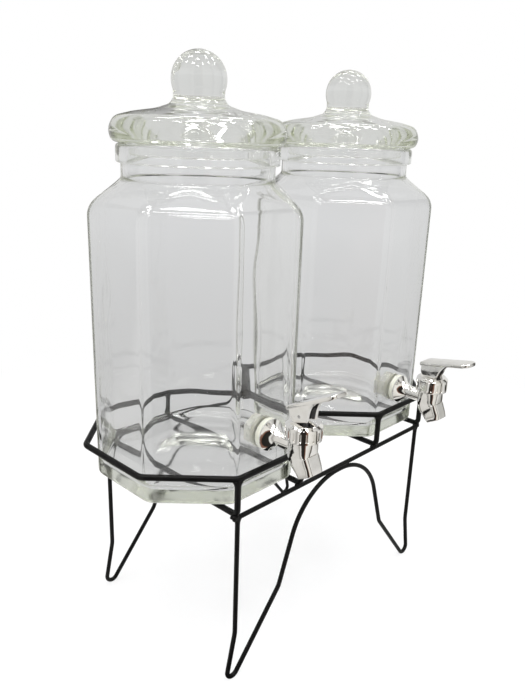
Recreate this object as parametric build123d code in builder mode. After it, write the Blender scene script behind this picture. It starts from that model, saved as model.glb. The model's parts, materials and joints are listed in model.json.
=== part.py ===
"""Double drinks dispenser: two eight-sided glass jars with lids and lever taps on a wire stand.

Millimetres, +Z up. The origin is on the floor under the middle of the stand. The taps point to -Y,
and left and right are as seen from there, so the left jar is at -X.
"""

import os
from math import acos, atan2, cos, degrees, pi, radians, sin, sqrt, tan

from build123d import *

os.makedirs("parts", exist_ok=True)

# Stand
rail_wire = 4.8  # diameter of the rings and the cradles
leg_wire = 3.8  # diameter of the bars and the legs
ring_half = 85.6  # middle of a ring to the centreline of its straight runs
ring_bend = 9.0
jar_seat_height = 151.2  # top of the cradle runs, which carry the jars
rail_rise = 27.3  # from there to the centreline of the rings
cradle_bend = 5.0
frame_set_back = 1.4  # how far the bars and legs stand behind the front runs of the rings
weld_depth = 0.4  # how far welded wires sink into each other
leg_inset = 1.8  # how far a leg stands inside the outer cradle
kick_height = 42.0  # where a leg turns outwards
kick_bend = 30.0
kick_out = 1.7  # from there to the middle of the foot's bend
foot_bend = 5.5
foot_flat = 0.4  # how deep the feet are worn flat
knee_spread = 72.0
knee_height = 60.5
knee_bend = 14.0
arch_slope = 71.0  # degrees, of the wire above the knee
arch_share = 0.96  # of the widest bend that the arch has room for
sides_of_ring = 8

# Jars
jar_half = 78.0  # middle to a flat side
jar_corner = 14.0  # rounding of the upright edges
jar_wall = 4.5
base_thickness = 9.0
base_round = 5.0
punt_radius = 30.0
punt_depth = 4.0
side_rise = 212.2  # base to where the sides and the slope would meet
shoulder_rise = 19.4
shoulder_round = 16.0
neck_radius = 57.2
neck_rise = 11.0
neck_wall = 4.2
band_radius = 59.8
band_rise = 12.9
band_round = 2.5
foot_steps = 3
shoulder_steps = 4
neck_roundness_share = 0.985  # how near the shoulder's last section comes to a circle

# Lids
lid_radius = 64.1
lid_thickness = 20.6  # from the rim to the edge of the deck
deck_radius = 54.6
deck_crown = 4.2  # rise of the deck towards the stalk
stalk_foot_radius = 31.6
stalk_radius = 18.5
stalk_rise = 8.6  # from the deck's top to the narrowest place
knob_radius = 20.2
knob_rise = 20.5  # from the deck's top to the middle of the ball
plug_clearance = 1.4
plug_depth = 8.0
plug_wall = 5.0
knob_meet = 25.0  # degrees below the ball's widest place, where the stalk joins it
stalk_hollow_share = 0.32  # how near the curve at the stalk's foot comes to the corner
dome_share = 0.72
lid_glass = 9.0  # thickness of the glass between the plug and the deck

# Taps
left_tap_rise = 50.8  # base of the left jar to the shank axis of its tap
right_tap_rise = 42.8  # the same on the right jar, which the photograph shows lower
left_lever_raise = 15.0  # degrees above the closed place, as the left lever stands
right_lever_raise = 0.0
tap_reach = 37.0  # glass to the upright axis of the tap
shank_radius = 6.5
shank_bore = 4.0
shank_end = 13.0  # how far the shank stands past the inner face of the glass
hole_clearance = 1.0  # between the shank and the hole in the glass
ring_clearance = 0.1  # between the shank and the rings on it
outer_washer_radius = 12.4
outer_washer = 4.5
flange_radius = 11.8
flange = 3.0
inner_washer_radius = 12.4
inner_washer = 3.0
nut_across = 22.0
nut = 8.0
nut_sides = 6
nut_chamfer = 1.0
barrel_radius = 10.3
barrel_foot = 3.5  # below the shank axis, where the spout begins
collar_radius = 11.3  # threaded collar inside the bonnet
collar_top = 15.0  # above the shank axis
chamber_radius = 8.2
seat_drop = 5.0  # seat of the valve, below the shank axis
seat_bore = 4.2
spout_drop = 18.0  # middle of the mouth, below the shank axis
spout_lead = 8.5  # middle of the mouth, ahead of the upright axis
spout_lean = 28.0  # degrees
mouth_width = 16.0
mouth_depth = 14.0
mouth_corner = 3.5
throat_corner = 8.0
spout_wall = 2.2
bonnet_radius = 13.7
bonnet_foot = 8.5  # above the shank axis
bonnet_height = 13.0
bonnet_rim = 2.2  # plain edge above and below the ribs
bonnet_edge = 0.8
bonnet_slope = 2.2  # bevel of the top edge
rib_count = 18
rib_gap = 1.5
rib_depth = 1.0
thread_clearance = 0.15
diaphragm = 2.0  # thickness of the seat cup's clamped flange
cup_radius = 6.8
cup_wall = 1.4
cup_clearance = 0.4  # between the seat cup's skirt and the chamber
foot_clearance = 0.1  # round the stem's foot in the seat cup
pad = 4.0
lip = 1.6
stem_radius = 3.1
stem_clearance = 0.1
stem_head = 3.2  # top of the stem above the pin
stem_foot_radius = 5.0
stem_foot = 2.5
pin_radius = 1.25
pin_clearance = 0.05
cam_drop = 4.4  # pin to the bonnet's top when closed
cam_rate = 3.44  # lift per radian of the lever
cam_span = 70.0  # degrees from closed to fully raised
cam_points = 9
cam_clearance = 0.1
cheek = 2.9
cheek_clearance = 0.3  # between the stem and the cheeks
cheek_front = 6.0  # flat of the cheeks ahead of the pin
cheek_throw = 9.0  # how far the cheeks lean forward under the paddle
cheek_hollow_share = 0.3  # of that lean, half way up
paddle_rise = 11.0  # degrees when closed
paddle_height = 7.0  # pin to the underside of the paddle
paddle_front = 37.0
paddle_back = 9.4
paddle_width = 18.0
paddle = 2.8
paddle_corner = 5.0

overrun = 2.0  # how far cuts run past what they cut

# Worked out
side_signs = {"left": -1, "right": 1}
tap_heights = {"left": jar_seat_height + left_tap_rise, "right": jar_seat_height + right_tap_rise}
lever_raises = {"left": left_lever_raise, "right": right_lever_raise}
half_turn_share = tan(pi / sides_of_ring)
rail_radius = rail_wire / 2
leg_radius = leg_wire / 2
ring_corner = ring_half * half_turn_share
ring_x = ring_half + rail_radius - weld_depth / 2
rail_height = jar_seat_height + rail_rise
run_height = jar_seat_height - rail_radius
frame_y = ring_half - frame_set_back
bend_gap = cradle_bend + rail_radius + leg_radius - weld_depth
bar_height = run_height + cradle_bend - sqrt(bend_gap**2 - (cradle_bend - frame_set_back) ** 2)
bar_end = ring_x + ring_corner + rail_radius
arch_height = bar_height - leg_wire + weld_depth
leg_spread = ring_x + ring_corner - leg_inset
foot_spread = leg_spread + kick_out
foot_height = foot_bend + leg_radius - foot_flat
arch_reach = knee_spread - (arch_height - knee_height) / tan(radians(arch_slope))
arch_bend = arch_share * arch_reach / tan(radians(arch_slope) / 2)
shoulder_height = jar_seat_height + side_rise
neck_foot_height = shoulder_height + shoulder_rise
band_foot_height = neck_foot_height + neck_rise
rim_height = band_foot_height + band_rise
bore_radius = neck_radius - neck_wall
deck_edge_height = rim_height + lid_thickness
deck_top = deck_edge_height + deck_crown
knob_height = deck_top + knob_rise
plug_radius = bore_radius - plug_clearance
lever_slot = 2 * (stem_radius + cheek_clearance)
lever_width = lever_slot + 2 * cheek


def keep(piece, label):
    """Name a finished piece and write it to its own file."""
    piece.label = label
    export_step(piece, f"parts/{label}.step")


def wire_along(path, radius):
    """A round wire along a path of straight runs and tangent arcs."""
    with BuildPart() as wire:
        with BuildSketch(Plane(origin=path @ 0, z_dir=path % 0)):
            Circle(radius)
        sweep(path=path)
    return wire.part


def ring_path(side):
    """Half of a ring's centreline, from the middle of its back run to that of its front run."""
    middle = side_signs[side] * ring_x
    outer = middle + side_signs[side] * ring_half
    near = middle + side_signs[side] * ring_corner
    with BuildLine(Plane.XY.offset(rail_height)) as half:
        FilletPolyline(
            (middle, ring_half),
            (near, ring_half),
            (outer, ring_corner),
            (outer, -ring_corner),
            (near, -ring_half),
            (middle, -ring_half),
            radius=ring_bend,
        )
    return half.line


def make_ring(side):
    """An eight-sided ring, flat where it is welded to the other one."""
    mirror_plane = Plane.YZ.offset(side_signs[side] * ring_x)
    half = wire_along(ring_path(side), rail_radius)
    with BuildPart() as ring:
        add(half)
        mirror(about=mirror_plane)
        split(bisect_by=Plane.YZ, keep=Keep.TOP if side == "right" else Keep.BOTTOM)
    return ring.part


def make_cradle(ring, x):
    """A wire that hangs from a ring's front and back corners and runs under the jar."""
    with BuildLine(Plane.YZ.offset(x)) as path:
        FilletPolyline(
            (-ring_half, rail_height),
            (-ring_half, run_height),
            (ring_half, run_height),
            (ring_half, rail_height),
            radius=cradle_bend,
        )
    wire = wire_along(path.line, rail_radius)
    with BuildPart() as cradle:
        add(wire)
        add(ring, mode=Mode.SUBTRACT)
    return cradle.part


def make_bar(front, cradles):
    """A straight bar under the bends of the four cradles."""
    with BuildPart() as bar:
        with BuildSketch(Plane.YZ.offset(-bar_end)):
            with Locations((front * -frame_y, bar_height)):
                Circle(leg_radius)
        extrude(amount=2 * bar_end)
        for cradle in cradles:
            add(cradle, mode=Mode.SUBTRACT)
    return bar.part


def touch_point(point, middle, radius, turn):
    """Where a line from a point touches a circle, to the left of the line to its middle or right."""
    away = Vector(*point) - Vector(*middle)
    angle = turn * degrees(acos(radius / away.length))
    touch = Vector(*middle) + away.normalized().rotate(Axis.Z, angle) * radius
    return (touch.X, touch.Y)


def leg_path(plane):
    """Down a leg, round its foot, up to the arch and down again on the other side."""
    top = (-leg_spread, bar_height)
    kick = (-leg_spread, kick_height)
    knee = (-knee_spread, knee_height)
    corner = (-arch_reach, arch_height)
    crown = (0, arch_height)
    foot = (-foot_spread, foot_height)
    arrive = touch_point(kick, foot, foot_bend, 1)
    leave = touch_point(knee, foot, foot_bend, -1)
    bottom = (-foot_spread, foot_height - foot_bend)

    def other(point):
        return (-point[0], point[1])

    with BuildLine(plane) as path:
        FilletPolyline(top, kick, arrive, radius=kick_bend)
        ThreePointArc(arrive, bottom, leave)
        FilletPolyline(leave, knee, corner, crown, radius=[knee_bend, arch_bend])
        FilletPolyline(crown, other(corner), other(knee), other(leave), radius=[arch_bend, knee_bend])
        ThreePointArc(other(leave), other(bottom), other(arrive))
        FilletPolyline(other(arrive), other(kick), other(top), radius=kick_bend)
    return path.line


def make_legs(front, bar):
    """The two legs of the front or the back, with their feet and the arch between them, one wire."""
    wire = wire_along(leg_path(Plane.XZ.offset(front * frame_y)), leg_radius)
    with BuildPart() as legs:
        add(wire)
        add(bar, mode=Mode.SUBTRACT)
        split(bisect_by=Plane.XY, keep=Keep.TOP)
    return legs.part


def section(x, height, half, corner):
    """One eight-sided section of a jar, with rounded corners."""
    with BuildSketch(Plane(origin=(x, 0, height))) as sketch:
        RegularPolygon(half, sides_of_ring, major_radius=False, rotation=180 / sides_of_ring)
        fillet(sketch.vertices(), corner)
    return sketch.sketch.face()


def jar_sections(x, half, corner, floor, round_radius, bulge, top, top_radius):
    """Sections up a jar's skin: a rounded foot, upright sides, a rounded shoulder and a round neck."""
    lean = atan2(jar_half - neck_radius, neck_foot_height - shoulder_height)
    sections = []
    for step in range(foot_steps + 1):
        turn = radians(90 * step / foot_steps)
        inset = round_radius * (1 - sin(turn))
        height = floor + round_radius * (1 - cos(turn))
        sections.append(section(x, height, half - inset, corner - inset))
    bend_foot = top - (half - top_radius) / tan(lean) - bulge * tan(lean / 2)
    for step in range(shoulder_steps + 1):
        turn = lean * step / shoulder_steps
        inset = bulge * (1 - cos(turn))
        sections.append(section(x, bend_foot + bulge * sin(turn), half - inset, corner))
    sections.append(section(x, top, top_radius, top_radius * neck_roundness_share))
    return sections


def make_jar(side):
    """A glass jar, with a round neck, a thick rim and a hole for the tap."""
    x = side_signs[side] * ring_x
    lean = atan2(jar_half - neck_radius, neck_foot_height - shoulder_height)
    inner_half = jar_half - jar_wall
    inner_floor = jar_seat_height + base_thickness
    inner_bend = shoulder_height - jar_wall * tan(lean / 2)
    inner_top = inner_bend + (inner_half - bore_radius) / tan(lean)
    punt_ball = (punt_radius**2 + punt_depth**2) / (2 * punt_depth)
    upright = Plane(origin=(x, 0, 0), x_dir=(1, 0, 0), z_dir=(0, -1, 0))
    axis = Axis((x, 0, 0), (0, 0, 1))

    skin = jar_sections(
        x,
        jar_half,
        jar_corner,
        jar_seat_height,
        base_round,
        shoulder_round,
        neck_foot_height,
        neck_radius,
    )
    lining = jar_sections(
        x,
        inner_half,
        jar_corner - jar_wall,
        inner_floor,
        base_round,
        shoulder_round - jar_wall,
        inner_top,
        bore_radius,
    )
    with BuildPart() as hollow:
        loft(lining, ruled=True)
        with BuildSketch(Plane(origin=(x, 0, inner_top - overrun))):
            Circle(bore_radius)
        extrude(amount=rim_height - inner_top + 2 * overrun)

    with BuildPart() as jar:
        loft(skin, ruled=True)
        with BuildSketch(upright):
            with BuildLine():
                Polyline(
                    (0, inner_top),
                    (neck_radius, inner_top),
                    (neck_radius, band_foot_height),
                    (band_radius, band_foot_height),
                    (band_radius, rim_height),
                    (0, rim_height),
                    close=True,
                )
            band = make_face()
            fillet(band.vertices().group_by(Axis.X)[-1], band_round)
        revolve(axis=axis)
        add(hollow.part, mode=Mode.SUBTRACT)
        with Locations((x, 0, jar_seat_height + punt_depth - punt_ball)):
            Sphere(punt_ball, mode=Mode.SUBTRACT)
        with BuildSketch(Plane.XZ.offset(jar_half + overrun)):
            with Locations((x, tap_heights[side])):
                Circle(shank_radius + hole_clearance)
        extrude(amount=-(jar_wall + 2 * overrun), mode=Mode.SUBTRACT)
    return jar.part


def make_lid(side):
    """A turned glass lid with a plug, a thick rounded edge and a ball knob."""
    x = side_signs[side] * ring_x
    stalk_top = deck_top + stalk_rise
    plug_inner = plug_radius - plug_wall
    dome_top = deck_top - lid_glass
    meet = radians(knob_meet)
    with BuildPart() as lid:
        with BuildSketch(Plane(origin=(x, 0, 0), x_dir=(1, 0, 0), z_dir=(0, -1, 0))):
            with BuildLine():
                Polyline(
                    (plug_inner, rim_height),
                    (plug_inner, rim_height - plug_depth),
                    (plug_radius, rim_height - plug_depth),
                    (plug_radius, rim_height),
                    (band_radius - band_round, rim_height),
                )
                ThreePointArc(
                    (band_radius - band_round, rim_height),
                    (lid_radius, rim_height + lid_thickness / 2),
                    (deck_radius, deck_edge_height),
                )
                Line((deck_radius, deck_edge_height), (stalk_foot_radius, deck_top))
                ThreePointArc(
                    (stalk_foot_radius, deck_top),
                    (
                        stalk_radius + (stalk_foot_radius - stalk_radius) * stalk_hollow_share,
                        deck_top + stalk_rise * stalk_hollow_share,
                    ),
                    (stalk_radius, stalk_top),
                )
                Line(
                    (stalk_radius, stalk_top),
                    (knob_radius * cos(meet), knob_height - knob_radius * sin(meet)),
                )
                ThreePointArc(
                    (knob_radius * cos(meet), knob_height - knob_radius * sin(meet)),
                    (knob_radius * cos(meet), knob_height + knob_radius * sin(meet)),
                    (0, knob_height + knob_radius),
                )
                Line((0, knob_height + knob_radius), (0, dome_top))
                ThreePointArc(
                    (0, dome_top),
                    (plug_inner * dome_share, rim_height + (dome_top - rim_height) * dome_share),
                    (plug_inner, rim_height),
                )
            make_face()
        revolve(axis=Axis((x, 0, 0), (0, 0, 1)))
    return lid.part


def across(side, ahead):
    """A plane square to the shank, a distance ahead of the glass, that looks into the jar."""
    return Plane(
        origin=(side_signs[side] * ring_x, -jar_half - ahead, tap_heights[side]),
        x_dir=(1, 0, 0),
        z_dir=(0, 1, 0),
    )


def level(side, above):
    """A level plane on the tap's upright axis, a distance above the shank axis."""
    return Plane(origin=(side_signs[side] * ring_x, -jar_half - tap_reach, tap_heights[side] + above))


def upright_axis(side):
    """The tap's upright axis."""
    return Axis((side_signs[side] * ring_x, -jar_half - tap_reach, 0), (0, 0, 1))


def side_view(side):
    """A plane through the tap's upright axis, with its Y up from the shank axis."""
    return Plane(
        origin=(side_signs[side] * ring_x, -jar_half - tap_reach, tap_heights[side]),
        x_dir=(1, 0, 0),
        z_dir=(0, -1, 0),
    )


def mouth_plane(side):
    """The plane of the spout's mouth, which looks along the flow."""
    lean = radians(spout_lean)
    return Plane(
        origin=(
            side_signs[side] * ring_x,
            -jar_half - tap_reach - spout_lead,
            tap_heights[side] - spout_drop,
        ),
        x_dir=(1, 0, 0),
        z_dir=(0, -sin(lean), -cos(lean)),
    )


def looking_down(plane):
    """The same place, looking down."""
    return Plane(origin=plane.origin, x_dir=(1, 0, 0), z_dir=(0, 0, -1))


def make_tap_body(side):
    """Shank, flange, valve barrel and spout in one casting."""
    with BuildPart() as body:
        with BuildSketch(across(side, tap_reach)):
            Circle(shank_radius)
        extrude(amount=tap_reach + jar_wall + shank_end)
        with BuildSketch(across(side, outer_washer + flange)):
            Circle(flange_radius)
        extrude(amount=flange)
        with BuildSketch(level(side, -barrel_foot)):
            Circle(barrel_radius)
        extrude(amount=barrel_foot + bonnet_foot)
        with BuildSketch(level(side, bonnet_foot)):
            Circle(collar_radius)
        extrude(amount=collar_top - bonnet_foot)
        with BuildSketch(looking_down(level(side, -barrel_foot))):
            RectangleRounded(2 * barrel_radius, 2 * barrel_radius, throat_corner)
        with BuildSketch(mouth_plane(side)):
            RectangleRounded(mouth_width, mouth_depth, mouth_corner)
        loft()
        with BuildSketch(level(side, -seat_drop)):
            Circle(chamber_radius)
        extrude(amount=seat_drop + collar_top + overrun, mode=Mode.SUBTRACT)
        with BuildSketch(looking_down(level(side, -seat_drop))):
            Circle(seat_bore)
        with BuildSketch(mouth_plane(side).offset(overrun)):
            Circle(mouth_depth / 2 - spout_wall)
        loft(mode=Mode.SUBTRACT)
        with BuildSketch(looking_down(level(side, 0))):
            Circle(seat_bore)
        extrude(amount=seat_drop + overrun, mode=Mode.SUBTRACT)
        with BuildSketch(across(side, tap_reach)):
            Circle(shank_bore)
        extrude(amount=tap_reach + jar_wall + shank_end + overrun, mode=Mode.SUBTRACT)
    return body.part


def make_bonnet(side):
    """The ribbed cap that screws onto the barrel's collar and clamps the seat cup."""
    with BuildPart() as bonnet:
        with BuildSketch(level(side, bonnet_foot)):
            Circle(bonnet_radius)
        extrude(amount=bonnet_height)
        rims = bonnet.edges().filter_by(GeomType.CIRCLE).sort_by(Axis.Z)
        chamfer(rims[-1], bonnet_slope)
        fillet(rims[0], bonnet_edge)
        with BuildSketch(level(side, bonnet_foot + bonnet_rim)):
            with PolarLocations(bonnet_radius, rib_count):
                Rectangle(2 * rib_depth, rib_gap)
        extrude(amount=bonnet_height - bonnet_slope - 2 * bonnet_rim, mode=Mode.SUBTRACT)
        with BuildSketch(level(side, bonnet_foot - overrun)):
            Circle(collar_radius + thread_clearance)
        extrude(amount=overrun + collar_top + diaphragm - bonnet_foot, mode=Mode.SUBTRACT)
        with BuildSketch(level(side, collar_top)):
            Circle(stem_radius + stem_clearance)
        extrude(amount=bonnet_height, mode=Mode.SUBTRACT)
    return bonnet.part


def lift_of(side):
    """How far the lever, as it stands, has raised the stem."""
    return cam_rate * radians(lever_raises[side])


def make_seat_cup(side):
    """The soft cup that closes the seat, holds the stem's foot and pulls it back down."""
    bottom = lift_of(side) - seat_drop
    socket_top = bottom + pad + stem_foot + foot_clearance
    lip_top = socket_top + lip
    skirt = chamber_radius - cup_clearance
    with BuildPart() as cup:
        with BuildSketch(side_view(side)):
            with BuildLine():
                Polyline(
                    (0, bottom),
                    (cup_radius, bottom),
                    (cup_radius, lip_top),
                    (skirt, collar_top),
                    (collar_radius, collar_top),
                    (collar_radius, collar_top + diaphragm),
                    (skirt - cup_wall, collar_top + diaphragm),
                    (cup_radius - cup_wall, lip_top),
                    (stem_radius + stem_clearance, lip_top),
                    (stem_radius + stem_clearance, socket_top),
                    (stem_foot_radius + foot_clearance, socket_top),
                    (stem_foot_radius + foot_clearance, bottom + pad),
                    (0, bottom + pad),
                    close=True,
                )
            make_face()
        revolve(axis=upright_axis(side))
    return cup.part


def pin_height(side):
    """The lever's pin above the shank axis."""
    return bonnet_foot + bonnet_height + cam_drop + lift_of(side)


def lever_plane(side):
    """The lever's middle plane: its origin on the pin, X forward along the lever and Y up."""
    rise = radians(lever_raises[side])
    return Plane(
        origin=level(side, pin_height(side)).origin,
        x_dir=(0, -cos(rise), sin(rise)),
        z_dir=(-1, 0, 0),
    )


def make_stem(side):
    """The stem, with a foot in the seat cup and a cross hole for the lever's pin."""
    foot_bottom = lift_of(side) - seat_drop + pad
    with BuildPart() as stem:
        with BuildSketch(level(side, foot_bottom)):
            Circle(stem_foot_radius)
        extrude(amount=stem_foot)
        with BuildSketch(level(side, foot_bottom)):
            Circle(stem_radius)
        extrude(amount=pin_height(side) + stem_head - foot_bottom)
        with BuildSketch(lever_plane(side)):
            Circle(pin_radius + pin_clearance)
        extrude(amount=stem_radius + overrun, both=True, mode=Mode.SUBTRACT)
    return stem.part


def make_pin(side):
    """The pin that the lever turns on."""
    with BuildPart() as pin:
        with BuildSketch(lever_plane(side)):
            Circle(pin_radius)
        extrude(amount=lever_width / 2, both=True)
    return pin.part


def cam_point(turn):
    """A point of the cam whose reach grows evenly as the lever is raised."""
    reach = cam_drop - cam_clearance + cam_rate * turn
    return (-reach * sin(turn) - cam_rate * cos(turn), -reach * cos(turn) + cam_rate * sin(turn))


def make_lever(side):
    """The paddle and its two cheeks, whose rear edges are the cam."""
    slope = tan(radians(paddle_rise))
    plane = lever_plane(side)
    low = cam_clearance - cam_drop
    cheek_top = cheek_front + cheek_throw
    turns = [radians(cam_span) * step / (cam_points - 1) for step in range(cam_points)]
    curve = [cam_point(turn) for turn in turns]
    cheek_middle = (
        cheek_front + cheek_throw * cheek_hollow_share,
        (low + paddle_height + slope * cheek_top) / 2,
    )
    rise = radians(paddle_rise)
    up = plane.y_dir * cos(rise) - plane.x_dir * sin(rise)
    paddle_plane = Plane(
        origin=plane.origin + plane.y_dir * paddle_height,
        x_dir=plane.z_dir,
        z_dir=up,
    )
    with BuildPart() as lever:
        with BuildSketch(plane):
            with BuildLine():
                Spline(*curve)
                Line(curve[0], (cheek_front, low))
                ThreePointArc(
                    (cheek_front, low),
                    cheek_middle,
                    (cheek_top, paddle_height + slope * cheek_top),
                )
                Polyline(
                    (cheek_top, paddle_height + slope * cheek_top),
                    (-paddle_back, paddle_height - slope * paddle_back),
                    curve[-1],
                )
            make_face()
        extrude(amount=lever_width / 2, both=True)
        with BuildSketch(plane):
            with BuildLine():
                Polyline(
                    (-paddle_back - overrun, low - overrun),
                    (cheek_top + overrun, low - overrun),
                    (cheek_top + overrun, paddle_height + slope * (cheek_top + overrun)),
                    (-paddle_back - overrun, paddle_height - slope * (paddle_back + overrun)),
                    close=True,
                )
            make_face()
        extrude(amount=lever_slot / 2, both=True, mode=Mode.SUBTRACT)
        with BuildSketch(paddle_plane) as blade:
            with Locations((0, (paddle_front - paddle_back) / 2)):
                Rectangle(paddle_width, paddle_front + paddle_back)
            fillet(blade.vertices().group_by(Axis.Y)[-1], paddle_corner)
        extrude(amount=paddle)
        with BuildSketch(plane):
            Circle(pin_radius + pin_clearance)
        extrude(amount=lever_width, both=True, mode=Mode.SUBTRACT)
    return lever.part


def make_disc(side, ahead, radius, thickness):
    """A ring on the shank, whose far face is a distance ahead of the glass."""
    with BuildPart() as disc:
        with BuildSketch(across(side, ahead)):
            Circle(radius)
            Circle(shank_radius + ring_clearance, mode=Mode.SUBTRACT)
        extrude(amount=thickness)
    return disc.part


def make_nut(side):
    """The plastic nut inside the jar."""
    with BuildPart() as nut_block:
        with BuildSketch(across(side, -jar_wall - inner_washer)):
            RegularPolygon(nut_across / 2, nut_sides, major_radius=False)
            Circle(shank_radius + ring_clearance, mode=Mode.SUBTRACT)
        extrude(amount=nut)
        outer = nut_block.edges().filter_by(GeomType.LINE).group_by(Axis.Y)[-1]
        chamfer(outer, nut_chamfer)
    return nut_block.part


# The stand
rings = {side: make_ring(side) for side in side_signs}
cradles = []
for side, ring in rings.items():
    keep(ring, f"rail_ring_{side}")
    middle = side_signs[side] * ring_x
    for place, offset in {"outer": ring_corner, "inner": -ring_corner}.items():
        cradle = make_cradle(ring, middle + side_signs[side] * offset)
        keep(cradle, f"cradle_wire_{side}_{place}")
        cradles.append(cradle)
for name, front in {"front": 1, "rear": -1}.items():
    bar = make_bar(front, cradles)
    keep(bar, f"{name}_bar")
    keep(make_legs(front, bar), f"{name}_leg_wire")

# The jars, their lids and their taps
for side in side_signs:
    keep(make_jar(side), f"jar_{side}")
    keep(make_lid(side), f"lid_{side}")
    keep(make_tap_body(side), f"tap_body_{side}")
    keep(make_bonnet(side), f"tap_bonnet_{side}")
    keep(make_seat_cup(side), f"seat_cup_{side}")
    keep(make_stem(side), f"tap_stem_{side}")
    keep(make_pin(side), f"lever_pin_{side}")
    keep(make_lever(side), f"tap_lever_{side}")
    keep(make_disc(side, outer_washer, outer_washer_radius, outer_washer), f"outer_washer_{side}")
    keep(make_disc(side, -jar_wall, inner_washer_radius, inner_washer), f"inner_washer_{side}")
    keep(make_nut(side), f"shank_nut_{side}")
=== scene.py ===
"""The looks of a double drinks dispenser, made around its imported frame.

Metres, +Z up, in the frame's own axes. The taps point to -Y, and the left jar is the one at -X.
Places come from the frame's nodes, and the named sizes below are those of the real pieces.
"""

import json
from math import atan, atan2, cos, pi, radians, sin, sqrt, tan

import bmesh
import bpy
from mathutils import Matrix, Vector


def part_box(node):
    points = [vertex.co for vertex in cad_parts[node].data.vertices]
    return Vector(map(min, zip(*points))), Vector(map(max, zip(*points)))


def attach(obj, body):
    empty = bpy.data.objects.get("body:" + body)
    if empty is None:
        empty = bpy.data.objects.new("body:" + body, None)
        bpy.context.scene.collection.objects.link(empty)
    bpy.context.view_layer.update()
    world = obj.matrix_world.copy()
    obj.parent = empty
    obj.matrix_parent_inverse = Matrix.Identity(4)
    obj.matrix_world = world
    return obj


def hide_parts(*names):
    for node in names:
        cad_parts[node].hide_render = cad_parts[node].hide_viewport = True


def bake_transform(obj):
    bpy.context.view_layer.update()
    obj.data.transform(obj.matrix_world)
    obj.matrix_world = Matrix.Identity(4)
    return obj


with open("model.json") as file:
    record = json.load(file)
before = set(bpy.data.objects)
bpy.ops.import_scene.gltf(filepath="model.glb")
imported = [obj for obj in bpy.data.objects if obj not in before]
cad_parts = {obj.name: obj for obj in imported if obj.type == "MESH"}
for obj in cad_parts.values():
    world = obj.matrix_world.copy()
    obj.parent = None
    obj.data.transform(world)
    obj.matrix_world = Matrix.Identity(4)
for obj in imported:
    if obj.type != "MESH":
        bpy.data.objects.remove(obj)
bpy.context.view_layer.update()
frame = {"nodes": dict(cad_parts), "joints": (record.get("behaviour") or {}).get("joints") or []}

side_names = ("left", "right")

# Camera, fitted to the photograph's 525 by 700 frame
camera_place = Vector((-0.42983, -0.39651, 0.41917))
camera_right = Vector((0.69598, -0.71731, 0.03286))
camera_down = Vector((-0.20009, -0.23768, -0.95051))
camera_lens = 34.87
camera_sensor = 36.0

# Studio
white = (1, 1, 1)
floor_half = 9.0
floor_matt = (0.86, 0.86, 0.86)
floor_roughness = 0.9
shadow_reach = 0.7
shadow_share = 0.3
floor_reach = 2.5
panel_rows = (-1.0, -0.2, 0.7)
panel_columns = (-1.2, -0.4, 0.4, 1.2)
panel_height = 2.1
panel_width = 0.16
panel_length = 0.42
panel_power = 4.5
light_bounces = 32
room_tone = (1.05, 1.05, 1.06)
glass_tone = (0.68, 0.685, 0.695)
floor_tones = {0.0: (0.71, 0.715, 0.725), 1.0: (0.6, 0.602, 0.606)}

# The room's tones in polished metal, by the share of a turn from -X through -Y
room_bands = {
    0.0: (0.66, 0.65, 0.62),
    0.03: (0.34, 0.33, 0.31),
    0.055: (0.8, 0.79, 0.76),
    0.07: (0.76, 0.75, 0.72),
    0.077: (0.03, 0.026, 0.023),
    0.15: (0.02, 0.018, 0.016),
    0.156: (0.2, 0.1, 0.07),
    0.172: (0.26, 0.14, 0.1),
    0.18: (0.9, 0.885, 0.84),
    0.24: (0.8, 0.785, 0.74),
    0.285: (0.66, 0.645, 0.6),
    0.295: (0.08, 0.07, 0.06),
    0.312: (0.1, 0.085, 0.075),
    0.32: (0.86, 0.85, 0.83),
    0.41: (0.5, 0.5, 0.48),
    0.42: (0.07, 0.065, 0.06),
    0.45: (0.1, 0.09, 0.08),
    0.46: (0.82, 0.82, 0.8),
    0.56: (0.84, 0.84, 0.82),
    0.64: (0.5, 0.5, 0.49),
    0.65: (0.06, 0.055, 0.05),
    0.67: (0.08, 0.075, 0.07),
    0.68: (0.8, 0.79, 0.77),
    0.78: (0.66, 0.65, 0.63),
    0.85: (0.3, 0.29, 0.28),
    0.87: (0.12, 0.11, 0.1),
    0.88: (0.78, 0.77, 0.74),
    1.0: (0.66, 0.65, 0.62),
}

# The room's tones through glass, from behind the camera at 0 to behind the object at 1
depth_tones = {
    0.0: (0.6, 0.605, 0.595),
    0.3: (0.62, 0.625, 0.615),
    0.6: (0.655, 0.66, 0.66),
    0.75: (0.672, 0.677, 0.683),
    1.0: glass_tone,
}

# The part of a noise's range that is put to use
noise_low = 0.3
noise_high = 0.7

# Edges sharper than these angles stay sharp
plain_sharp = radians(38)
bonnet_sharp = radians(30)
nut_sharp = radians(25)
casting_sharp = radians(50)
weld_sharp = radians(60)

# Faces round the turned shapes
lid_segments = 128
washer_segments = 72
tap_segments = 64
hole_segments = 48
pin_segments = 32

# Welds of the stand
weld_drop = 0.0058
weld_along = 0.0052
weld_across = 0.0022
weld_turn = radians(22.5)
weld_sink_share = 0.5
weld_grip_share = 1.02
weld_touch = 0.0836
weld_level = 0.0012
bar_bead = (0.0046, 0.0026, 0.0021)
leg_place = 0.12146
leg_drop = 0.0048
leg_along = 0.0045
crown_place = 0.007
crown_bead = (0.0075, 0.0017, 0.0012)
ring_welds = (-0.027, 0.0, 0.027)
ring_bead = (0.0016, 0.0075, 0.001)
bead_rows = 8
bead_segments = 20
bead_lump = 0.09
bead_ripple = 0.06
collar_rows = 7
collar_segments = 24
collar_lump = 0.05
collar_flare = 2.4

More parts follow.
